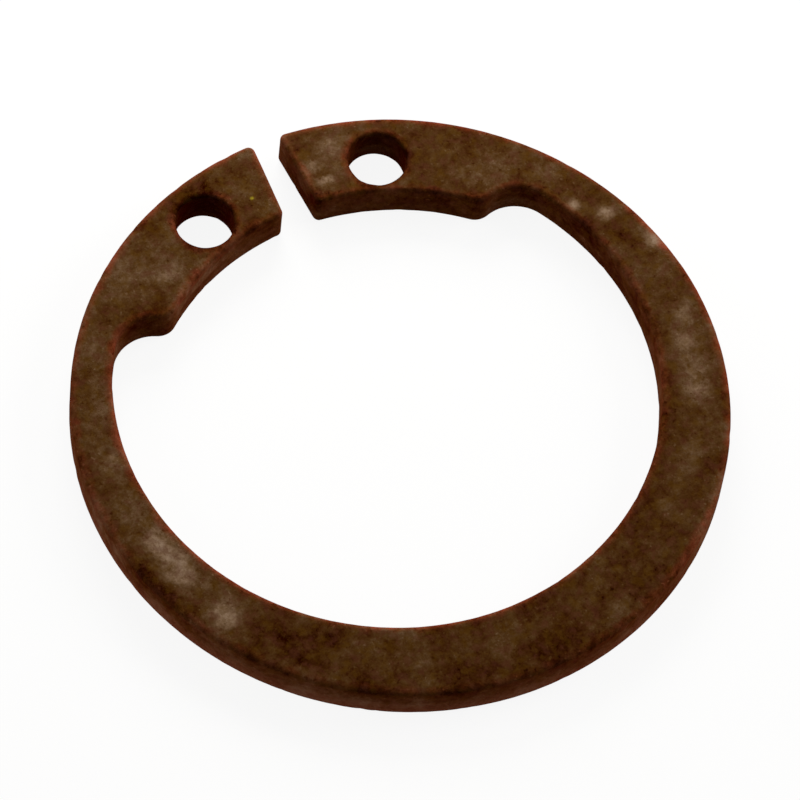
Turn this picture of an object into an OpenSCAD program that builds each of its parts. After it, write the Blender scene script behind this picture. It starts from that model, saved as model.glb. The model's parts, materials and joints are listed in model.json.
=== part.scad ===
// Internal retaining ring for a 22 mm bore, heavy pattern, free state.
// One flat stamping: a round outer rim, an eccentric inner circle that makes
// the section taper from the back of the ring to the gap, and two lugs that
// point inwards, each with a hole for the tip of a pair of pliers.
// Millimetres. The origin is the rim's centre on the lower face, +Z is the
// ring's axis, and the gap lies on +Y.

/* [Ring] */
// Outside diameter of the ring when it is free
ring_d = 23.5; // [22.5:0.1:26]
// Thickness of the steel strip
ring_t = 1.5; // [0.8:0.05:2.5]
// Radial width of the section opposite the gap, where it is widest
section_max = 2.8; // [2.2:0.05:3.2]
// Radial width that the section would taper down to at the gap
section_min = 1.15; // [0.8:0.05:1.5]
// Sideways offset of the inner circle from the rim's centre
bore_shift = -0.14; // [-0.2:0.01:0.2]

/* [Lugs] */
// Radial width of a lug beside the gap
lug_w = 3.15; // [2.8:0.05:3.6]
// Radius of the hollow inner edge that the two lugs share
lug_arc_r = 9.2; // [8.6:0.05:9.8]
// Angle from the gap to the middle of a lug's toe, about that edge's centre
toe_angle = 39.5; // [36:0.5:43]
// Radius of the round toe at the far end of a lug
toe_r = 0.7; // [0.5:0.05:0.9]
// Radius of the hollow root between the toe and the inner circle
root_r = 1.5; // [1.1:0.05:1.9]

/* [Plier holes] */
// Diameter of each plier hole
hole_d = 2.1; // [1.6:0.05:2.4]
// Distance between the middles of the two plier holes
hole_spacing = 6.84; // [6:0.02:7.6]
// Steel left between a plier hole and the lugs' inner edge
hole_web = 0.32; // [0.25:0.01:0.6]

/* [Gap] */
// Width of the gap at the outer rim
gap_outer = 1; // [0.6:0.05:1.6]
// Width of the gap at the lugs' inner edge
gap_inner = 1.3; // [0.6:0.05:1.8]
// Radius of the four corners beside the gap, seen from above
gap_corner_r = 0.25; // [0.2:0.01:0.35]

/* [Edges] */
// Width of the small bevel that takes off every sharp edge
edge_break = 0.12; // [0.04:0.01:0.13]

/* [Hidden] */
$fn = 180;

// How far cutting shapes reach past the faces that they cut
lip = 0.02;
// How far the lugs' stock and the gap reach past the edges that trim them
over = 1;
// Hair's breadth that is added to a blend's radius, so that two rounds which
// would only touch do cross
hair = 0.0002;

rim_r = ring_d / 2;
bore_r = (ring_d - section_max - section_min) / 2;
bore_c = [bore_shift, (section_max - section_min) / 2];
lug_arc_c = [0, rim_r - lug_w - lug_arc_r];
hole_r = hole_d / 2;
hole_x = hole_spacing / 2;
hole_y = lug_arc_c.y + sqrt(pow(lug_arc_r + hole_web + hole_r, 2) - pow(hole_x, 2));

function unit(v) = v / norm(v);
function flip(p, side) = [side * p.x, p.y];

// Point on the circle of radius r round c that lies towards the point p
function towards(c, r, p) = c + r * unit(p - c);

// Point at distance ra from a and rb from b, to the left of the way a to b
function meet(a, ra, b, rb) =
    let (d = norm(b - a),
         u = (b - a) / d,
         along = (d * d + ra * ra - rb * rb) / (2 * d),
         across = sqrt(ra * ra - along * along))
    a + along * u + across * [-u.y, u.x];

// The next points belong to the right-hand lug, or to the one on the given
// side, 1 or -1, seen in a mirror that brings it to the right. The offset of
// the inner circle is all that tells the two lugs apart.

// Middle of the toe, which bulges past the end of the lugs' inner edge
toe_c = lug_arc_c + (lug_arc_r + toe_r) * [sin(toe_angle), cos(toe_angle)];

// Middle of the root, which runs from the toe out to the inner circle
function root_c(side) =
    meet(toe_c, toe_r + root_r, flip(bore_c, side), bore_r - root_r);

// The gap's right-hand face runs outwards from gap_in to gap_out
gap_in = [gap_inner / 2, lug_arc_c.y + lug_arc_r];
gap_out = [gap_outer / 2, rim_r];
gap_way = unit(gap_out - gap_in);
gap_into = [gap_way.y, -gap_way.x];

// Middle of a corner beside the gap: it lies one corner radius into the steel
// from the gap's face, at distance r from c
function corner_c(c, r) =
    let (p = gap_in + gap_corner_r * gap_into - c,
         b = p * gap_way)
    c + p + (sqrt(b * b - p * p + r * r) - b) * gap_way;

outer_corner_c = corner_c([0, 0], rim_r - gap_corner_r);
inner_corner_c = corner_c(lug_arc_c, lug_arc_r + gap_corner_r);

// Round shape through the strip, with a bevel at both faces that goes on past
// them: its ends are narrower for flare = -1 and wider for flare = 1
module bevelled_round(c, r, flare, past) {
    end_r = r + flare * (edge_break + past);
    translate([c.x, c.y, 0])
        rotate_extrude()
            polygon([
                [0, -past], [end_r, -past], [r, edge_break],
                [r, ring_t - edge_break], [end_r, ring_t + past], [0, ring_t + past]
            ]);
}

// Round steel, and the cutter for a round opening in it
module peg(c, r, past = 0) bevelled_round(c, r, -1, past);
module opening(c, r, past = lip) bevelled_round(c, r, 1, past);

// What its children draw on the right, or their mirror image on the left
module on_side(side)
    mirror([side < 0 ? 1 : 0, 0, 0])
        children();

// Straight stock through both faces, from an outline's points
module slab(points, past = lip) {
    translate([0, 0, -past])
        linear_extrude(ring_t + 2 * past)
            polygon(points);
}

// Steel of one lug within the inner circle: stock above the lugs' shared
// inner edge, ended by the toe and hollowed out by the root
module lug(side) {
    root = root_c(side);
    past_bore = root + (root_r + 2 * over) * unit(root - flip(bore_c, side));
    difference() {
        slab([
            [-over, lug_arc_c.y], lug_arc_c, toe_c, root, past_bore,
            [past_bore.x, rim_r + over], [-over, rim_r + over]
        ], 2 * lip);
        opening(lug_arc_c, lug_arc_r, 3 * lip);
        opening(root, root_r + hair, 3 * lip);
    }
    peg(toe_c, toe_r + hair, 2 * lip);
}

// What a corner loses: the stock between its two tangent points and the
// sharp corner, outside the round one
module corner_waste(c, edge_point) {
    face_point = c - gap_corner_r * gap_into;
    to_edge = 2 * (edge_point - c);
    to_face = 2 * (face_point - c);
    difference() {
        slab([c, c + to_edge, c + 2 * (to_edge + to_face), c + to_face]);
        peg(c, gap_corner_r + hair, 2 * lip);
    }
}

// Bevels along the upper and lower edges of the gap's right-hand face
module gap_bevels() {
    length = norm(gap_out - gap_in) + 2 * over;
    translate([gap_in.x - over * gap_way.x, gap_in.y - over * gap_way.y, 0])
        rotate([0, 0, atan2(gap_way.y, gap_way.x) - 90])
            rotate([-90, 0, 0])
                linear_extrude(length)
                    for (face = [0, 1])
                        translate([0, -face * ring_t])
                            mirror([0, face])
                                polygon([
                                    [-lip, lip], [edge_break + lip, lip],
                                    [-lip, -edge_break - lip]
                                ]);
}

// The gap between the lugs, with its bevels and its four rounded corners
module gap() {
    near = gap_in - over * gap_way;
    far = gap_out + over * gap_way;
    slab([near, far, flip(far, -1), flip(near, -1)]);
    for (side = [1, -1])
        on_side(side) {
            gap_bevels();
            corner_waste(outer_corner_c, towards([0, 0], rim_r, outer_corner_c));
            corner_waste(inner_corner_c, towards(lug_arc_c, lug_arc_r, inner_corner_c));
        }
}

// The wide opening inside the ring: the inner circle, less the two lugs
module centre() {
    difference() {
        opening(bore_c, bore_r);
        for (side = [1, -1])
            on_side(side) lug(side);
    }
}

// The whole ring, in its dark phosphate brown
module retaining_ring() {
    color([0.28, 0.165, 0.08])
        difference() {
            peg([0, 0], rim_r);
            centre();
            gap();
            for (side = [1, -1])
                on_side(side) opening([hole_x, hole_y], hole_r);
        }
}

retaining_ring();
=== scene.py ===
"""Looks of the internal retaining ring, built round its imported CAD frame.

The CAD node is stood for by one closed mesh of the same outline, whose stamped
edges are softly rounded and whose faces and walls are slightly uneven. It gets
a matt brown-black phosphate finish, and lies on a pale floor in soft light.
Lengths are in millimetres until a mesh is made, and in metres from there on.
"""

import json
import math

import bpy
import numpy as np
from mathutils import Matrix, Vector


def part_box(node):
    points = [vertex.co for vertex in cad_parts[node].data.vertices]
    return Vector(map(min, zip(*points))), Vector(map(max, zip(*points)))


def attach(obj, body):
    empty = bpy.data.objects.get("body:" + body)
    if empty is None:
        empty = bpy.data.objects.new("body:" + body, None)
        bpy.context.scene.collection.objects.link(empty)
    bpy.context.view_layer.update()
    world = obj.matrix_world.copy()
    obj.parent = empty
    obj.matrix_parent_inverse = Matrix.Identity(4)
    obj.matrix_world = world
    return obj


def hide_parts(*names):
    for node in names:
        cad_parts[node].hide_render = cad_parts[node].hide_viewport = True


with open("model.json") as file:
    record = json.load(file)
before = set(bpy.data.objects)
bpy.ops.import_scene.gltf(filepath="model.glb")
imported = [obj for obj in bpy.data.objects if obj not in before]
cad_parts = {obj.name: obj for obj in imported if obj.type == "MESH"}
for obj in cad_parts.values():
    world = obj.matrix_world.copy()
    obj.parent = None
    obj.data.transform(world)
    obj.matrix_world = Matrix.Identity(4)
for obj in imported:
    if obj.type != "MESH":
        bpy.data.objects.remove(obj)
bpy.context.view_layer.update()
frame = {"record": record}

MM = 0.001

# Sizes of the ring, as the part has them

ring_low, ring_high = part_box("retaining_ring")
RIM_R = ring_high.x / MM
THICKNESS = (ring_high.z - ring_low.z) / MM
SECTION_MAX = 2.8
SECTION_MIN = 1.15
BORE_SHIFT = -0.14
BORE_R = RIM_R - (SECTION_MAX + SECTION_MIN) / 2
BORE_MIDDLE = np.array([BORE_SHIFT, (SECTION_MAX - SECTION_MIN) / 2])
LUG_WIDTH = 3.15
LUG_ARC_R = 9.2
LUG_ARC_MIDDLE = np.array([0, RIM_R - LUG_WIDTH - LUG_ARC_R])
TOE_ANGLE = math.radians(39.5)
TOE_R = 0.7
ROOT_R = 1.5
GAP_OUTER = 1.0
GAP_INNER = 1.3
CORNER_R = 0.25

# Middle and radius of each plier hole

PLIER_HOLES = [
    (np.array(mount["pos_m"][:2]) / MM, mount["dims"]["r_mm"])
    for mount in frame["record"]["mounts"] if mount["kind"] == "bore"
]

# How far the roundings of the edges reach in over the faces, and their height

RIM_ROLL = 0.28
BAND_ROLL = 0.2
LUG_ROLL = 0.16
GAP_ROLL = 0.16
HOLE_ROLL = 0.14
ROLL_DEPTH = 0.15

# Cells of the mesh: round the ring, across its band, and down its walls

CELLS_ALONG = 820
CELLS_ACROSS = 28
CELLS_IN_ROLL = 6
CELLS_IN_WALL = 7

# About the fewest cells for each radian that the outline turns

CELLS_PER_RADIAN = 3.8

# Cells on each side over which a jump of the roll width is spread

STEPS_OF_BLEND = 15

# The columns of a face bend over to the gap within 1 / BEND_FADE of its length

BEND_FADE = 25

# Half the width of the patch round a plier hole, and the rings of cells in it

HOLE_PATCH_HALF = 1.75
RINGS_ROUND_HOLE = 5

# Points that agree when they are rounded to 1 / WELD_STEPS are one

WELD_STEPS = 1e5


# Outline of the ring

def unit(v):
    """The vector v at length 1."""
    return v / np.linalg.norm(v)


def flipped(p):
    """The point p in a mirror that stands in the gap."""
    return np.array([-p[0], p[1]])


def towards(middle, r, p):
    """Point of the circle of radius r round middle that lies towards p."""
    return middle + r * unit(p - middle)


def meet(a, ra, b, rb):
    """Point at distance ra from a and rb from b, to the left of the way a to b."""
    d = np.linalg.norm(b - a)
    u = (b - a) / d
    along = (d * d + ra * ra - rb * rb) / (2 * d)
    across = math.sqrt(ra * ra - along * along)
    return a + along * u + across * np.array([-u[1], u[0]])


def stretch(start, end, middle, turn):
    """Piece of outline from start to end: its start, heading, curvature and length.

    It is straight where middle is None. Else it is an arc round middle, whose
    curvature is turn / radius, with turn 1 to the left and -1 to the right."""
    if middle is None:
        way = end - start
        return start, math.atan2(way[1], way[0]), 0.0, float(np.linalg.norm(way))
    r = float(np.linalg.norm(start - middle))
    first = math.atan2(*(start - middle)[::-1])
    last = math.atan2(*(end - middle)[::-1])
    sweep = (turn * (last - first)) % (2 * math.pi)
    return start, first + turn * math.pi / 2, turn / r, r * sweep


def walk(start, heading, curvature, distance):
    """Points at the given distances along a piece, with their outward normals.

    With k the curvature and s the distance, a point lies sin(ks)/k forward and
    (1 - cos(ks))/k to the left of the start. The steel is on the left."""
    forward = distance * np.sinc(curvature * distance / np.pi)
    half = curvature * distance / 2
    left = distance * np.sin(half) * np.sinc(half / np.pi)
    x = start[..., 0] + forward * np.cos(heading) - left * np.sin(heading)
    y = start[..., 1] + forward * np.sin(heading) + left * np.cos(heading)
    turned = heading + curvature * distance
    return np.stack([x, y], -1), np.stack([np.sin(turned), -np.cos(turned)], -1)


def half_of(piece, second):
    """The first or second half of a piece of outline."""
    start, heading, curvature, length = piece
    if not second:
        return start, heading, curvature, length / 2
    middle = walk(start, heading, curvature, np.float64(length / 2))[0]
    return middle, heading + curvature * length / 2, curvature, length / 2


def corner_middle(middle, r):
    """Middle of a corner beside the gap: CORNER_R into the steel, r from middle."""
    p = GAP_IN + CORNER_R * GAP_INTO - middle
    b = p @ GAP_WAY
    return middle + p + (math.sqrt(b * b - p @ p + r * r) - b) * GAP_WAY


GAP_IN = np.array([GAP_INNER / 2, LUG_ARC_MIDDLE[1] + LUG_ARC_R])
GAP_OUT = np.array([GAP_OUTER / 2, RIM_R])
GAP_WAY = unit(GAP_OUT - GAP_IN)
GAP_INTO = np.array([GAP_WAY[1], -GAP_WAY[0]])
CENTRE = np.zeros(2)
OUTER_CORNER = corner_middle(CENTRE, RIM_R - CORNER_R)
INNER_CORNER = corner_middle(LUG_ARC_MIDDLE, LUG_ARC_R + CORNER_R)
TOE_WAY = np.array([math.sin(TOE_ANGLE), math.cos(TOE_ANGLE)])
TOE = LUG_ARC_MIDDLE + (LUG_ARC_R + TOE_R) * TOE_WAY


def right_side(bore_middle):
    """Pieces of the right-hand lug's outline, from the rim to the inner circle.

    Each has its start, its end, the middle of its arc or None, and its turn."""
    root = meet(TOE, TOE_R + ROOT_R, bore_middle, BORE_R - ROOT_R)
    rim_end = towards(CENTRE, RIM_R, OUTER_CORNER)
    face_out = OUTER_CORNER - CORNER_R * GAP_INTO
    face_in = INNER_CORNER - CORNER_R * GAP_INTO
    arc_start = towards(LUG_ARC_MIDDLE, LUG_ARC_R, INNER_CORNER)
    arc_end = towards(LUG_ARC_MIDDLE, LUG_ARC_R, TOE)
    toe_end = towards(TOE, TOE_R, root)
    root_end = towards(bore_middle, BORE_R, root)
    return [
        (rim_end, face_out, OUTER_CORNER, 1),
        (face_out, face_in, None, 0),
        (face_in, arc_start, INNER_CORNER, 1),
        (arc_start, arc_end, LUG_ARC_MIDDLE, -1),
        (arc_end, toe_end, TOE, 1),
        (toe_end, root_end, root, -1),
    ]


def mirrored(pieces):
    """The same pieces on the other side of the gap, walked the other way."""
    return [
        (flipped(end), flipped(start), None if middle is None else flipped(middle), turn)
        for start, end, middle, turn in reversed(pieces)
    ]


def outline_sides():
    """The outline in four sides, each with its pieces and their roll widths.

    With the steel on the left they are the rim, the gap's right face, the inner
    edge and the gap's left face, and they meet in the middle of its corners."""
    right = right_side(BORE_MIDDLE)
    left = mirrored(right_side(flipped(BORE_MIDDLE)))
    rim = stretch(left[-1][1], right[0][0], CENTRE, 1)
    bore = stretch(right[-1][1], left[0][0], BORE_MIDDLE, -1)
    right = [stretch(*p) for p in right]
    left = [stretch(*p) for p in left]
    corners = [right[0], right[2], left[-3], left[-1]]
    first = [half_of(c, False) for c in corners]
    second = [half_of(c, True) for c in corners]
    right_rolls = [LUG_ROLL, LUG_ROLL, BAND_ROLL]
    return [
        ([second[3], rim, first[0]], [GAP_ROLL, RIM_ROLL, GAP_ROLL]),
        ([second[0], right[1], first[1]], [GAP_ROLL] * 3),
        (
            [second[1], *right[3:], bore, *left[:3], first[2]],
            [GAP_ROLL, *right_rolls, BAND_ROLL, *reversed(right_rolls), GAP_ROLL],
        ),
        ([second[2], left[-2], first[3]], [GAP_ROLL] * 3),
    ]


def stations(pieces, rolls, cells):
    """Points, outward normals and roll widths at cells + 1 places along one side.

    The places are even in a measure that grows with the length, and faster in
    tight corners, in proportion to the curvature."""
    start, heading, curvature, length = (np.array(x) for x in zip(*pieces))
    cell = length.sum() / cells
    pace = np.maximum(1 / cell, np.abs(curvature) * CELLS_PER_RADIAN)
    ends = np.concatenate([[0], np.cumsum(length * pace)])
    measure = np.linspace(0, ends[-1], cells + 1)
    piece = np.searchsorted(ends, measure, side="right") - 1
    piece = np.clip(piece, 0, len(length) - 1)
    distance = (measure - ends[piece]) / pace[piece]
    points, normals = walk(start[piece], heading[piece], curvature[piece], distance)
    return points, normals, np.array(rolls)[piece]


def blended(widths):
    """Roll widths of the closed outline, each the mean over its nearest cells."""
    padded = np.pad(widths, STEPS_OF_BLEND, mode="wrap")
    window = np.full(2 * STEPS_OF_BLEND + 1, 1 / (2 * STEPS_OF_BLEND + 1))
    return np.convolve(padded, window, mode="valid")


# Surfaces of the mesh

class Surface:
    """Grids of points, with their normals, distances from the outline and cells."""

    def __init__(self):
        self.points = []
        self.normals = []
        self.insets = []
        self.cells = []
        self.count = 0

    def add(self, points, normals, insets, keep=None):
        """Adds a grid, whose cells are all used, or only those that keep names."""
        shape = points.shape[:2]
        number = self.count + np.arange(shape[0] * shape[1]).reshape(shape)
        corners = number[:-1, :-1], number[1:, :-1], number[1:, 1:], number[:-1, 1:]
        cells = np.stack(corners, -1)
        self.points.append(points.reshape(-1, 3))
        self.normals.append(np.broadcast_to(normals, points.shape).reshape(-1, 3))
        self.insets.append(np.broadcast_to(insets, shape).reshape(-1))
        self.cells.append(cells.reshape(-1, 4) if keep is None else cells[keep])
        self.count += number.size

    def welded(self):
        """The points, normals, insets and cells with each shared point kept once.

        A cell that looks against its first corner's normal is turned round."""
        points, normals = np.concatenate(self.points), np.concatenate(self.normals)
        insets, cells = np.concatenate(self.insets), np.concatenate(self.cells)
        places = np.round(points * WELD_STEPS).astype(np.int64)
        _, first, number = np.unique(
            places, axis=0, return_index=True, return_inverse=True
        )
        cells = number.reshape(-1)[cells]
        points, normals, insets = points[first], normals[first], insets[first]
        a, b, c, d = (points[cells[:, k]] for k in range(4))
        looks = np.einsum("ij,ij->i", np.cross(c - a, d - b), normals[cells].sum(1))
        cells[looks < 0] = cells[looks < 0][:, ::-1]
        return points, normals, insets, cells


def wall(surface, points, normals, rolls):
    """Carries the edge profile along a closed path of points with outward normals.

    The profile runs down from the upper face: a quarter of an ellipse as wide as
    the roll there and ROLL_DEPTH high, the straight wall, and another quarter."""
    turn = np.linspace(0, np.pi / 2, CELLS_IN_ROLL + 1)
    down = np.linspace(0, 1, CELLS_IN_WALL + 1)[1:-1]
    height = np.concatenate([
        THICKNESS - ROLL_DEPTH * (1 - np.cos(turn)),
        THICKNESS - ROLL_DEPTH + (2 * ROLL_DEPTH - THICKNESS) * down,
        ROLL_DEPTH * (1 - np.cos(turn))[::-1],
    ])
    curl = 1 - np.sin(turn)
    inset = np.outer(rolls, np.concatenate([curl, np.zeros(len(down)), curl[::-1]]))
    grid = np.empty(inset.shape + (3,))
    grid[..., :2] = points[:, None] - inset[..., None] * normals[:, None]
    grid[..., 2] = height
    lean = np.concatenate([np.sin(turn), np.ones(len(down)), np.sin(turn)[::-1]])
    rise = np.concatenate([np.cos(turn), np.zeros(len(down)), -np.cos(turn)[::-1]])
    look = np.empty_like(grid)
    look[..., :2] = (lean / rolls[:, None])[..., None] * normals[:, None]
    look[..., 2] = rise / ROLL_DEPTH
    look /= np.linalg.norm(look, axis=-1, keepdims=True)
    surface.add(grid, look, inset)


def filled(rim, right, inner, left):
    """Grid of points between the four inset sides, columns along and rows across.

    A column is straight, inner + share * (rim - inner). Near the gap it bends over
    to the gap's face by a share that fades as the square of the distance left."""
    steps = np.linalg.norm(np.diff(right, axis=0), axis=1)
    along = np.concatenate([[0], np.cumsum(steps)])
    share = along[:, None] / along[-1]
    grid = inner[:, None] + share * (rim - inner)[:, None]
    column = np.arange(len(rim)) / (len(rim) - 1)
    fade = np.clip(1 - BEND_FADE * column, 0, 1)[:, None, None] ** 2
    grid = grid + fade * (left - grid[0]) + fade[::-1] * (right - grid[-1])
    return grid


def to_outline(points, parts):
    """Distance of each point p to the nearest point q of the parts.

    Its square is |p|^2 + |q|^2 - 2pq."""
    squared = [((q * q).sum(1) - 2 * points @ q.T).min(1) for q in parts]
    nearest = np.minimum.reduce(squared) + (points * points).sum(1)
    return np.sqrt(np.maximum(nearest, 0))


def border_of(grid, columns):
    """Closed border of a block of columns: along the first row and round."""
    a, b = columns[0], columns[-1]
    along, back = grid[a:b, 0], grid[b:a:-1, -1]
    return np.concatenate([along, grid[b, :-1], back, grid[a, :0:-1], along[:1]])


def hole_rays(flat):
    """For each plier hole, its columns of the grid, and its mouth with normals.

    The mouth has one point for each point of the columns' border, on the line
    to it from the hole's middle. Its normals point out of the steel."""
    found = []
    for middle, radius in PLIER_HOLES:
        beside = np.abs(flat[:, 0, 0] - middle[0]) < HOLE_PATCH_HALF
        columns = np.flatnonzero(beside & (flat[:, 0, 1] >= 0))
        ray = border_of(flat, columns) - middle
        ray /= np.linalg.norm(ray, axis=1, keepdims=True)
        found.append((columns, middle + radius * ray, -ray))
    return found


def face(surface, flat, outline, rays, height, look):
    """One flat face: the filled grid, with a fan of rings round each plier hole.

    A ring's points lie on straight lines from the hole's rolled edge to the
    border of a patch of cells that is left out round the hole."""
    keep = np.ones((len(flat) - 1, flat.shape[1] - 1), bool)

    def add_flat(grid, kept=None):
        insets = to_outline(grid.reshape(-1, 2), outline).reshape(grid.shape[:2])
        raised = np.dstack([grid, np.full(grid.shape[:2], height)])
        surface.add(raised, look, insets, kept)

    for columns, mouth, out in rays:
        keep[columns[0]:columns[-1]] = False
        edge = mouth - HOLE_ROLL * out
        share = np.linspace(0, 1, RINGS_ROUND_HOLE + 1)[:, None, None]
        add_flat(edge + share * (border_of(flat, columns) - edge))
    add_flat(flat, keep)


def ring_surface():
    """The whole ring as one closed surface of welded grids.

    The rim and the inner edge have CELLS_ALONG cells each, a gap face CELLS_ACROSS."""
    surface = Surface()
    sides = [
        stations(pieces, rolls, CELLS_ALONG if k % 2 == 0 else CELLS_ACROSS)
        for k, (pieces, rolls) in enumerate(outline_sides())
    ]
    points, normals, widths = (
        np.concatenate([side[k][:-1] for side in sides]) for k in range(3)
    )
    widths = blended(widths)
    points, normals, widths = (np.concatenate([x, x[:1]]) for x in (points, normals, widths))
    wall(surface, points, normals, widths)

    cuts = np.cumsum([0] + [len(side[0]) - 1 for side in sides])
    rim, right, inner, left = (
        p - widths[a:b + 1, None] * n
        for (p, n, _), a, b in zip(sides, cuts[:-1], cuts[1:])
    )
    flat = filled(rim, right[::-1], inner[::-1], left)
    rays = hole_rays(flat)
    for _, mouth, out in rays:
        wall(surface, mouth, out, np.full(len(mouth), HOLE_ROLL))
    outline = [p for p, _, _ in sides] + [mouth for _, mouth, _ in rays]
    face(surface, flat, outline, rays, THICKNESS, np.array([0, 0, 1.0]))
    face(surface, flat, outline, rays, 0.0, np.array([0, 0, -1.0]))
    return surface.welded()


# Wear of the surface

SEED = 22

# Depth and size of the slow waves, and of the strip's fine unevenness

WAVE_DEPTH, WAVE_SIZE = 0.005, 3.0
GRAIN_DEPTH, GRAIN_SIZE = 0.003, 0.5

# Cosine waves in one ripple; a wave is the ripple's size long, over its share

WAVES = 32
WAVE_SHARES = (0.7, 1.4)

# Number, radii and depths of the pits, and of the nicks in the edges

PITS, PIT_RADII, PIT_DEPTHS = 170, (0.1, 0.22), (0.006, 0.02)
NICKS, NICK_RADII, NICK_DEPTHS = 60, (0.08, 0.2), (0.005, 0.02)


def ripple(points, size, seed):
    """Smooth noise of about -1 to 1: a sum of cosine waves in random directions.

    It is the sum of cos(way . point + phase) over the waves, divided by the
    square root of their number, and each wave is about one size long."""
    rng = np.random.default_rng(seed)
    way = rng.normal(size=(3, WAVES))
    pace = 2 * np.pi / size * rng.uniform(*WAVE_SHARES, WAVES)
    way *= pace / np.linalg.norm(way, axis=0)
    phase = rng.uniform(0, 2 * np.pi, WAVES)
    return np.cos(points @ way + phase).sum(1) / math.sqrt(WAVES)


def dents(points, middles, rng, radii, depths):
    """Depth of round dents: the sum of depth * exp(-(distance / radius)^2).

    A dent's radius and depth are drawn from their ranges."""
    radii = rng.uniform(*radii, len(middles))
    depths = rng.uniform(*depths, len(middles))
    squared = (points ** 2).sum(1)[:, None] + (middles ** 2).sum(1)
    squared = squared - 2 * points @ middles.T
    return (depths * np.exp(-squared / radii ** 2)).sum(1)


def from_faces(points):
    """Distance of each point from the nearer of the two faces."""
    return np.minimum(points[:, 2], THICKNESS - points[:, 2])


def worn(points, normals, insets):
    """The points moved in along their normals by waves, pits and nicks in the edges."""
    rng = np.random.default_rng(SEED)
    depth = WAVE_DEPTH * (1 + ripple(points, WAVE_SIZE, SEED + 1) / 2)
    depth += GRAIN_DEPTH * (1 + ripple(points, GRAIN_SIZE, SEED + 2) / 2)
    pits = points[rng.choice(len(points), PITS)]
    depth += dents(points, pits, rng, PIT_RADII, PIT_DEPTHS)
    drop = from_faces(points)
    on_edge = np.flatnonzero((drop < ROLL_DEPTH) & (drop > 0) & (insets < BAND_ROLL / 2))
    nicks = points[rng.choice(on_edge, NICKS)]
    depth += dents(points, nicks, rng, NICK_RADII, NICK_DEPTHS)
    return points - np.maximum(depth, 0)[:, None] * normals


# Marks on the two faces

# Pale scuffs on the upper face, and then dark marks with a strength below 0: stains,
# and painted shade in the lugs' inner corners, along the inner edge by the right lug
# and on the far side of the left plier hole. They are placed after the photograph:
# angle round the ring and share of the band from its inner edge to the rim, below 0
# on the lugs, then length along the ring, width across it (mm) and strength

UPPER_SCUFFS_AND_SHADE = [
    (12, 0.85, 0.6, 0.5, 0.8),
    (15, 0.90, 3.0, 0.5, 0.3),
    (22, 0.52, 0.65, 0.65, 1.0),
    (28, 0.20, 0.45, 0.45, 0.9),
    (51, -0.40, 1.4, 1.0, 0.4),
    (78.5, 0.20, 0.9, 0.8, 0.5),
    (82, -1.03, 0.65, 0.35, 1.5),
    (84, -0.50, 0.8, 0.7, 0.5),
    (86, -0.80, 0.35, 0.6, 0.2),
    (115, 0.20, 1.0, 1.5, 0.45),
    (116, -1.70, 1.8, 0.8, 0.3),
    (121, -1.10, 2.6, 2.4, 0.3),
    (125, -0.70, 1.3, 1.1, 0.45),
    (128, 0.50, 3.0, 2.0, 0.3),
    (130, -1.50, 2.2, 0.9, 0.35),
    (150, 0.36, 1.6, 0.9, 0.28),
    (157, 0.30, 1.4, 0.9, 0.3),
    (172, 0.35, 1.4, 0.9, 0.3),
    (181, 0.42, 1.6, 1.0, 0.4),
    (184, 1.00, 7.0, 0.5, 0.35),
    (190, 0.32, 1.6, 1.0, 1.0),
    (197, 0.42, 2.0, 1.2, 1.0),
    (210.5, 0.57, 1.3, 1.1, 1.0),
    (266, 0.49, 1.6, 0.8, 0.2),
    (311, 0.47, 1.4, 0.8, 0.3),
    (316, 0.97, 5.0, 0.4, 0.3),
    (324, 0.49, 1.5, 1.1, 0.4),
    (329, 0.58, 1.5, 0.9, 0.2),
    (341, 0.46, 1.9, 1.3, 0.6),
    (350, 0.45, 1.4, 0.9, 0.45),
    (355, 0.64, 1.2, 0.8, 0.4),
    # Dark marks: partly stains, partly painted shade
    (15, 0.40, 1.4, 0.9, -0.25),
    (22, 0.00, 1.8, 0.5, -0.25),
    (37, -0.05, 1.8, 0.8, -0.35),
    (64, -0.30, 0.8, 1.8, -0.25),
    (86.6, -1.48, 0.9, 0.7, -0.5),
    (98, -1.83, 0.8, 0.6, -0.3),
    (101, -0.85, 1.3, 0.8, -0.4),
    (106.5, 0.40, 1.7, 0.9, -0.8),
    (113, -1.64, 4.6, 0.5, -0.15),
    (200, 0.90, 3.5, 0.7, -0.5),
    (225, 0.55, 3.4, 1.8, -0.25),
    (241, 0.20, 3.2, 0.9, -0.35),
    (248, 0.75, 4.5, 1.4, -0.18),
    (272, 0.75, 2.8, 1.0, -0.25),
    (286, 0.50, 13.0, 3.6, -0.11),
    (292, 0.45, 3.0, 2.4, -0.2),
    (349, 0.12, 7.0, 0.7, -0.22),
]

# Scuffs on the lower face, and the ranges from which such rows are drawn there

LOWER_COUNT = 14
LOWER_RANGES = [(0, 360), (0.3, 0.7), (0.6, 2), (0.4, 0.9), (0.3, 0.9)]


def lower_scuffs():
    """Random rows for the lower face, which is hidden."""
    rng = np.random.default_rng(SEED + 3)
    return np.column_stack([rng.uniform(*ends, LOWER_COUNT) for ends in LOWER_RANGES])


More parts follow.
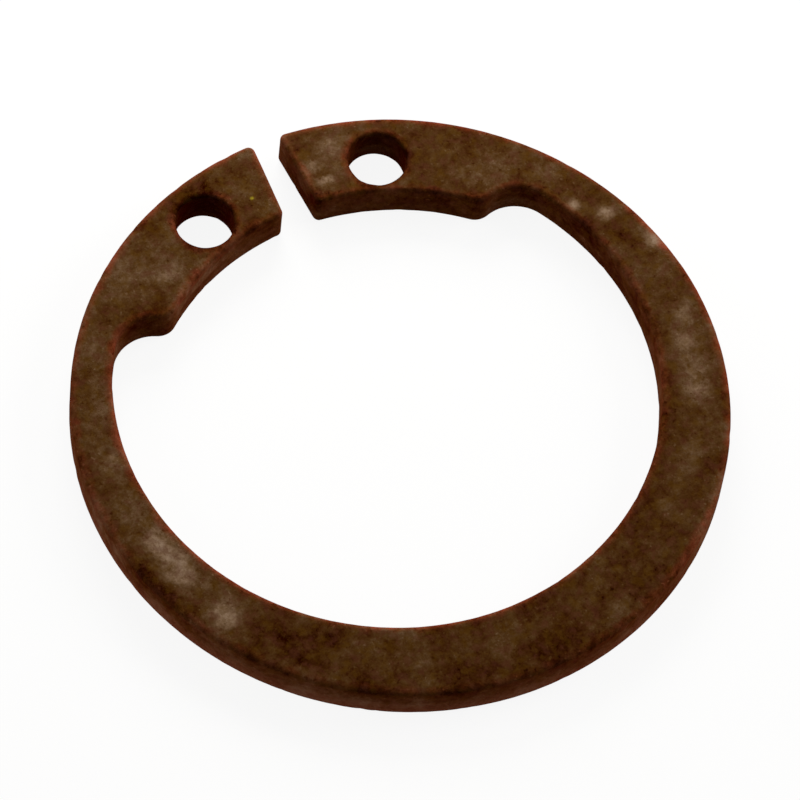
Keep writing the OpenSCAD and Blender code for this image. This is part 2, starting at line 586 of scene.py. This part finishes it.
def marks_on(points, scuffs, upper):
    """Strength of the marks at each point of one face, painted shade among them: the sum of
    their soft ovals.

    An oval is strength * exp(-(along / half length)^2 - (across / half width)^2)."""
    angle = np.arctan2(points[:, 1], points[:, 0])
    radius = np.hypot(points[:, 0], points[:, 1])
    dust = np.zeros(len(points))
    for degrees, share, length, width, strength in scuffs:
        at = math.radians(degrees)
        inner = BORE_MIDDLE @ [math.cos(at), math.sin(at)] + BORE_R
        middle = inner + share * (RIM_R - inner)
        turn = (angle - at + np.pi) % (2 * np.pi) - np.pi
        along = turn * middle / (length / 2)
        across = (radius - middle) / (width / 2)
        dust += strength * np.exp(-along ** 2 - across ** 2)
    above = points[:, 2] > THICKNESS / 2
    below = points[:, 2] < THICKNESS / 2
    return dust * (above if upper else below)


# Shares that the mesh stores for its finish, painted light and shade among them

# Direction of the side whose edges are worn most and which is painted as lit: paler and
# redder there, with painted shade on the walls facing away

RUBBED_AND_LIT_ANGLE = math.radians(50)
RUBBED_AND_LIT_WAY = np.array([math.cos(RUBBED_AND_LIT_ANGLE), math.sin(RUBBED_AND_LIT_ANGLE)])

# Width of the painted shade round a plier hole

HOLE_SHADE = 0.3

# Painted shade on the inner walls that face away from the lit and worn side, as a share of a
# plier hole's, and the distance inside the rim over which it comes up

INNER_SHADE = 0.45
INNER_START = 1

# Painted floor bounce and shade on the rim's near wall: how much darker it is at its top
# than at its base

BOUNCE_FALL = 1.7


def facing_away(normals):
    """How squarely each wall faces away from the lit and worn side, from 0 to 1."""
    return np.maximum(-normals[:, :2] @ RUBBED_AND_LIT_WAY, 0)


def sheltered(points, normals):
    """Painted shade: 1 on the walls of the plier holes, falling as a square to 0 over
    HOLE_SHADE.

    It is up to INNER_SHADE on the inner walls that face away from the lit and worn side."""
    from_rim = RIM_R - np.linalg.norm(points[:, :2], axis=1)
    inside = np.clip(from_rim / INNER_START, 0, 1)
    shares = [INNER_SHADE * inside * facing_away(normals)]
    for middle, radius in PLIER_HOLES:
        past = np.linalg.norm(points[:, :2] - middle, axis=1) - radius
        shares.append(np.clip(1 - past / HOLE_SHADE, 0, 1) ** 2)
    return np.maximum.reduce(shares)


def painted_floor_bounce(points, normals):
    """Painted floor bounce, with painted shade at the top: 1 at the base of the rim's near
    wall and 1 less the set fall at its top.

    It fades out over RIM_ROLL inside the rim, and round to the lit and worn side."""
    from_rim = RIM_R - np.hypot(points[:, 0], points[:, 1])
    on_rim = np.clip(1 - from_rim / RIM_ROLL, 0, 1)
    down = 1 - BOUNCE_FALL * points[:, 2] / THICKNESS
    return on_rim * down * facing_away(normals)


def make_ring():
    """The dressed ring: its mesh, the shares for its finish, and its place in the frame."""
    points, normals, insets, cells = ring_surface()
    mesh = bpy.data.meshes.new("phosphated_ring")
    mesh.from_pydata(worn(points, normals, insets) * MM, [], cells)
    mesh.shade_smooth()
    upper = marks_on(points, UPPER_SCUFFS_AND_SHADE, True)
    lower = marks_on(points, lower_scuffs(), False)
    shares = {
        "from_edge": np.hypot(insets, np.maximum(from_faces(points), 0)),
        "upright": 1 - normals[:, 2] ** 2,
        # painted shade in the plier holes and on the inner walls
        "sheltered": sheltered(points, normals),
        # painted floor bounce at the base of the rim's near wall, painted shade at its top
        "foot": painted_floor_bounce(points, normals),
        # which way each point faces: wear, and painted light on the lit side
        "rubbed": normals[:, :2] @ RUBBED_AND_LIT_WAY,
        # scuffs and stains, with painted shade among the dark marks
        "dust": upper + lower,
    }
    for name, values in shares.items():
        attribute = mesh.attributes.new(name, "FLOAT", "POINT")
        attribute.data.foreach_set("value", values.astype(np.float32))
    ring = bpy.data.objects.new("phosphated_ring", mesh)
    bpy.context.scene.collection.objects.link(ring)
    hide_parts("retaining_ring")
    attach(ring, "root")
    return ring


# Nodes of the finishes

class Wire:
    """An output of a node, with arithmetic that adds Math nodes."""

    def __init__(self, finish, socket):
        self.finish = finish
        self.socket = socket

    def math(self, operation, *values):
        """Adds the Math node of this operation on the values."""
        return self.finish.node("Math", {"operation": operation}, dict(enumerate(values)))

    def __add__(self, other):
        return self.math("ADD", self, other)

    def __sub__(self, other):
        return self.math("SUBTRACT", self, other)

    def __rsub__(self, other):
        return self.math("SUBTRACT", other, self)

    def __mul__(self, other):
        return self.math("MULTIPLY", self, other)

    __radd__ = __add__
    __rmul__ = __mul__

    def largest(self, other):
        """The larger of this and the other."""
        return self.math("MAXIMUM", self, other)

    def eased(self, low, high):
        """0 at low and 1 at high, with a smooth step between; low may be the larger."""
        return self.finish.node(
            "MapRange", {"interpolation_type": "SMOOTHSTEP"},
            {"Value": self, "From Min": low, "From Max": high}, "Result",
        )


class Finish:
    """The node tree of one material, or of the world."""

    def __init__(self, owner):
        owner.use_nodes = True
        self.owner = owner
        self.tree = owner.node_tree
        self.tree.nodes.clear()

    def node(self, kind, settings=None, inputs=None, output=0):
        """Adds a node with its settings, then the values or wires of its sockets."""
        node = self.tree.nodes.new("ShaderNode" + kind)
        for name, value in (settings or {}).items():
            if name == "stops":
                self.set_stops(node.color_ramp, value)
            else:
                setattr(node, name, value)
        for name, value in (inputs or {}).items():
            if isinstance(value, Wire):
                self.tree.links.new(value.socket, node.inputs[name])
            else:
                node.inputs[name].default_value = value
        return Wire(self, node.outputs[output]) if node.outputs else None

    def set_stops(self, ramp, stops):
        """Gives a ramp its stops, each a position and a colour."""
        while len(ramp.elements) < len(stops):
            ramp.elements.new(1)
        for element, (position, colour) in zip(ramp.elements, stops):
            element.position = position
            element.color = colour

    def mixed(self, share, first, second):
        """Colour that goes from first to second as share goes from 0 to 1."""
        return self.node(
            "Mix", {"data_type": "RGBA", "clamp_factor": True},
            {0: share, 6: first, 7: second}, 2,
        )

    def cloud(self, where, size, detail, roughness, seed):
        """Noise of about 0.3 to 0.7 whose blotches are about size millimetres."""
        return self.node(
            "TexNoise", {"noise_dimensions": "4D"},
            {
                "Vector": where, "W": seed, "Scale": 1 / (size * MM),
                "Detail": detail, "Roughness": roughness,
            },
            "Fac",
        )

    def stored(self, name):
        """The number that the mesh stores at each vertex under this name."""
        return self.node("Attribute", {"attribute_name": name}, {}, "Fac")


def srgb(red, green, blue):
    """A colour given in display values from 0 to 255, as the shader's linear values."""
    def linear(value):
        share = value / 255
        return share / 12.92 if share <= 0.04045 else ((share + 0.055) / 1.055) ** 2.4
    return linear(red), linear(green), linear(blue), 1.0


# The phosphate finish

# Its patterns: size of the blotches in mm, detail, roughness and seed

BROAD = (2.4, 2, 0.5, 1.0)
BLOTCHED = (0.8, 3, 0.6, 2.0)
FLECKED = (0.25, 3, 0.6, 3.0)
GRAIN = (0.07, 2, 0.6, 4.0)
TINTED = (0.4, 3, 0.6, 5.0)
POWDERY = (0.45, 5, 0.65, 6.0)
POCKED = (0.15, 1, 0.5, 7.0)
PATCHY = (0.45, 3, 0.6, 8.0)

# What patterns and stored shares add to the tone, or take from it

TONE_START = 0.17
BROAD_TONE = 0.4
BLOTCH_TONE = 0.42
FLECK_TONE = 0.33
GRAIN_TONE = 0.18
SCUFF_AND_SHADE_TONE = 0.48
PAINTED_SHADE_TONE = 0.215
UPRIGHT_TONE = 0.06
RUBBED_AND_LIT_TONE = 0.05
BOUNCE_TONE = 0.19

# Small pale and dark pocks: the noise at their rims and middles, and their tones

PALE_POCK, PALE_POCK_TONE = (0.66, 0.76), 0.1
DARK_POCK, DARK_POCK_TONE = (0.36, 0.27), 0.08

# How far the powder breaks up a scuff

POWDER_EASE, POWDER_SHARE = (0.3, 0.7), 0.7

# Colours along the tone: the brown faces, and the redder steel of the worn edges, which also
# carries painted light

BROWN_STOPS = [
    (0.3, srgb(28, 4, 0)),
    (0.41, srgb(50, 24, 6)),
    (0.48, srgb(60, 36, 13)),
    (0.54, srgb(68, 45, 22)),
    (0.62, srgb(81, 59, 38)),
    (0.76, srgb(106, 83, 62)),
    (1.0, srgb(135, 113, 92)),
]
RED_STOPS = [
    (0.28, srgb(22, 2, 0)),
    (0.4, srgb(60, 20, 6)),
    (0.5, srgb(93, 37, 20)),
    (0.64, srgb(124, 58, 38)),
]

# Olive and plum tints in the brown, the noise where each comes up, and their share

OLIVE, OLIVE_EASE = srgb(72, 47, 8), (0.5, 0.65)
PLUM, PLUM_EASE = srgb(72, 38, 26), (0.5, 0.35)
TINT_SHARE = 0.38

# Bared steel: its reach in mm from an edge, how ragged the patterns make that, the
# patches that it is left in, and its share on the walls; then the red of the painted floor
# bounce at the near wall's base

BARED_REACH = (0.78, 0.46)
BLOTCH_RAGGED, FLECK_RAGGED = 0.6, 0.2
PATCH_EASE, PATCH_SHARE, PATCH_LEAST = (0.4, 0.58), 0.7, 0.5
UPRIGHT_RED = 0.2
BOUNCE_RED = 0.4

# The yellow speck on the left lug: its place, colour, share, rim and unevenness (mm)

SPECK_AT = (-1.46 * MM, 9.63 * MM, THICKNESS * MM)
SPECK_YELLOW = srgb(140, 125, 30)
SPECK_SHARE = 0.7
SPECK_RIM, SPECK_UNEVEN = (0.15, 0.06), 0.08

# Height of the patterns in mm, and the gloss

GRAIN_HEIGHT, FLECK_HEIGHT, BLOTCH_HEIGHT = 0.004, 0.012, 0.03
ROUGH_LEAST, BLOTCH_ROUGH, SCUFF_ROUGH = 0.5, 0.2, 0.15
METAL_SHARE = 0.2
SHEEN_TINT = srgb(255, 150, 90)


def phosphate_finish():
    """Matt brown-black phosphate, mottled, with pale scuffs and redder worn edges, and
    painted light and shade.

    One tone is the weighted sum of the patterns, the marks and the walls' shares:
    painted shade in the plier holes and on the inner walls that face away from the lit
    and worn side, paler on that side, and painted floor bounce, paler at the base of the
    rim's near wall and darker at its top. It runs along two rows of colours, and the red
    one shows at the worn edges, more on the lit side, and at that base as painted floor
    bounce."""
    finish = Finish(bpy.data.materials.new("phosphated_spring_steel"))
    where = finish.node("TexCoord", {}, {}, "Object")
    upright = finish.stored("upright")
    rubbed = finish.stored("rubbed")
    foot = finish.stored("foot")
    blotched = finish.cloud(where, *BLOTCHED)
    flecked = finish.cloud(where, *FLECKED)
    grain = finish.cloud(where, *GRAIN)

    powder = finish.cloud(where, *POWDERY).eased(*POWDER_EASE)
    # Scuffs and stains, with painted shade among the dark marks
    scuffed_and_shaded = finish.stored("dust") * (powder * POWDER_SHARE + (1 - POWDER_SHARE))
    tone = finish.cloud(where, *BROAD) * BROAD_TONE + blotched * BLOTCH_TONE
    tone = tone + flecked * FLECK_TONE + grain * GRAIN_TONE
    tone = tone + scuffed_and_shaded * SCUFF_AND_SHADE_TONE - TONE_START
    pocked = finish.cloud(where, *POCKED)
    tone = tone + pocked.eased(*PALE_POCK) * PALE_POCK_TONE
    tone = tone - pocked.eased(*DARK_POCK) * DARK_POCK_TONE
    # Painted shade in the plier holes and on the inner walls, and paler walls
    tone = tone - finish.stored("sheltered") * PAINTED_SHADE_TONE + upright * UPRIGHT_TONE
    # Partly wear, partly painted light: paler on the lit and worn side
    tone = tone + rubbed.largest(0.0) * RUBBED_AND_LIT_TONE
    # Painted floor bounce: paler at the base of the rim's near wall, darker at its top
    tone = tone + foot * BOUNCE_TONE

    brown = finish.node("ValToRGB", {"stops": BROWN_STOPS}, {"Fac": tone}, "Color")
    tinted = finish.cloud(where, *TINTED)
    brown = finish.mixed(tinted.eased(*OLIVE_EASE) * TINT_SHARE, brown, OLIVE)
    brown = finish.mixed(tinted.eased(*PLUM_EASE) * TINT_SHARE, brown, PLUM)
    red = finish.node("ValToRGB", {"stops": RED_STOPS}, {"Fac": tone}, "Color")
    ragged = finish.stored("from_edge") + blotched * BLOTCH_RAGGED + flecked * FLECK_RAGGED
    patches = finish.cloud(where, *PATCHY).eased(*PATCH_EASE) * PATCH_SHARE + PATCH_LEAST
    # Worn edges, redder on the lit side as painted light, and red painted floor bounce at
    # the near wall's base
    bared_and_lit = ragged.eased(*BARED_REACH) * (rubbed * 0.5 + 0.5) * patches
    bared_and_lit = bared_and_lit + upright * UPRIGHT_RED + foot.largest(0.0) * BOUNCE_RED
    colour = finish.mixed(bared_and_lit, brown, red)

    away = finish.node(
        "VectorMath", {"operation": "DISTANCE"}, {0: where, 1: SPECK_AT}, "Value",
    )
    speck = (away * (1 / MM) + flecked * SPECK_UNEVEN).eased(*SPECK_RIM)
    colour = finish.mixed(speck * SPECK_SHARE, colour, SPECK_YELLOW)

    height = grain * GRAIN_HEIGHT + flecked * FLECK_HEIGHT + blotched * BLOTCH_HEIGHT
    uneven = {"Height": height, "Strength": 1.0, "Distance": MM}
    bump = finish.node("Bump", {}, uneven, "Normal")
    finish.node("OutputMaterial", {}, {
        "Surface": finish.node("BsdfPrincipled", {}, {
            "Base Color": colour,
            "Roughness": ROUGH_LEAST + blotched * BLOTCH_ROUGH + scuffed_and_shaded * SCUFF_ROUGH,
            "Metallic": METAL_SHARE,
            "Specular IOR Level": 0.0,
            "Specular Tint": SHEEN_TINT,
            "Normal": bump,
        }),
    })
    return finish.owner


# Floor and surround

WHITE = (1, 1, 1, 1)

# Colour of the floor, and the share of it that is seen as plain white

FLOOR_PALE = srgb(244, 242, 238)
FLOOR_WHITE_SHARE = 0.9

# Half the floor's side and its depth under the ring, in metres

FLOOR_HALF = 1.5
FLOOR_DROP = 0.01 * MM

# Strength of the surround's light on the scene, where it is seen at strength 1

SKY_LIGHT = 0.13


def seen_directly(finish):
    """1 for rays that show a thing, straight, in gloss or through; 0 for its light."""
    path = finish.node("LightPath").socket.node
    seen, gloss, through = (
        Wire(finish, path.outputs[name])
        for name in ("Is Camera Ray", "Is Glossy Ray", "Is Transmission Ray")
    )
    return seen.largest(gloss).largest(through)


def floor_finish():
    """Pale paper, nearly white as it is seen, that keeps a shadow; clear from below."""
    finish = Finish(bpy.data.materials.new("pale_floor"))
    paper = finish.node("BsdfDiffuse", {}, {"Color": FLOOR_PALE})
    white = finish.node("Emission", {}, {"Color": WHITE, "Strength": 1.0})
    whitened = seen_directly(finish) * FLOOR_WHITE_SHARE
    top = finish.node("MixShader", {}, {0: whitened, 1: paper, 2: white})
    under = finish.node("NewGeometry", {}, {}, "Backfacing")
    clear = finish.node("BsdfTransparent")
    both = finish.node("MixShader", {}, {0: under, 1: top, 2: clear})
    finish.node("OutputMaterial", {}, {"Surface": both})
    return finish.owner


def make_floor():
    """Flat square floor just under the ring."""
    corners = FLOOR_HALF * np.array([(-1, -1, 0), (1, -1, 0), (1, 1, 0), (-1, 1, 0)], float)
    corners[:, 2] = -FLOOR_DROP
    mesh = bpy.data.meshes.new("floor")
    mesh.from_pydata(corners, [], [(0, 1, 2, 3)])
    mesh.materials.append(floor_finish())
    floor = bpy.data.objects.new("floor", mesh)
    bpy.context.scene.collection.objects.link(floor)


def make_sky():
    """A white surround that is seen at full strength and lights the scene at a lower one."""
    world = bpy.data.worlds.new("soft_surround")
    bpy.context.scene.world = world
    finish = Finish(world)
    strength = seen_directly(finish) * (1 - SKY_LIGHT) + SKY_LIGHT
    sky = finish.node("Background", {}, {"Color": WHITE, "Strength": strength})
    finish.node("OutputWorld", {}, {"Surface": sky})


# Lamps and camera

# Each lamp's azimuth and elevation in degrees, distance and size in metres, and level

LAMPS = {
    "back_lamp": (162, 32, 0.085, 0.05, 1.05),
    "right_lamp": (88, 28, 0.15, 0.08, 0.7),
    "left_lamp": (250, 28, 0.15, 0.08, 0.25),
    "top_lamp": (200, 70, 0.2, 0.15, 0.1),
}

# The photograph's camera: the point that it aims at and its distance from there in
# mm, its direction and roll in degrees, and its lens and sensor

CAMERA_AIM = (0.373, 0.702, 0)
CAMERA_DISTANCE = 227.1
CAMERA_AZIMUTH = -31.61
CAMERA_ELEVATION = 60.24
CAMERA_ROLL = 7.57
CAMERA_LENS = 286.1
SENSOR_WIDTH = 36

# Nearest and farthest distance in metres that it sees

CAMERA_CLIP = (0.01, 10)


def direction(azimuth, elevation):
    """Unit vector from the ring towards a viewer or lamp; azimuth 0 is on -Y, 90 on +X."""
    a, e = math.radians(azimuth), math.radians(elevation)
    return Vector((math.sin(a) * math.cos(e), -math.cos(a) * math.cos(e), math.sin(e)))


def make_lamp(name, azimuth, elevation, distance, size, level):
    """Square soft lamp that aims at the ring and lights a white card facing it to level.

    A lamp of W watts at distance D gives level W / (pi D)^2."""
    light = bpy.data.lights.new(name, "AREA")
    light.size = size
    light.energy = level * (math.pi * distance) ** 2
    lamp = bpy.data.objects.new(name, light)
    back = direction(azimuth, elevation)
    lamp.location = back * distance
    lamp.rotation_mode = "QUATERNION"
    lamp.rotation_quaternion = back.to_track_quat("Z", "Y")
    lamp.visible_camera = False
    bpy.context.scene.collection.objects.link(lamp)


def make_camera():
    """Camera at the photograph's place, level with the ring's plane and then rolled."""
    data = bpy.data.cameras.new("camera")
    data.lens = CAMERA_LENS
    data.sensor_width = SENSOR_WIDTH
    data.clip_start, data.clip_end = CAMERA_CLIP
    camera = bpy.data.objects.new("camera", data)
    back = direction(CAMERA_AZIMUTH, CAMERA_ELEVATION)
    right = (-back).cross(Vector((0, 0, 1))).normalized()
    upright = Matrix((right, back.cross(right), back)).transposed()
    rolled = upright @ Matrix.Rotation(math.radians(CAMERA_ROLL), 3, "Z")
    camera.rotation_mode = "QUATERNION"
    camera.rotation_quaternion = rolled.to_quaternion()
    camera.location = Vector(CAMERA_AIM) * MM + back * CAMERA_DISTANCE * MM
    bpy.context.scene.collection.objects.link(camera)
    bpy.context.scene.camera = camera


# The scene

ring = make_ring()
ring.data.materials.append(phosphate_finish())
make_floor()
make_sky()
make_camera()
for name, row in LAMPS.items():
    make_lamp(name, *row)

bpy.context.scene.view_settings.view_transform = "Standard"

bpy.context.view_layer.update()
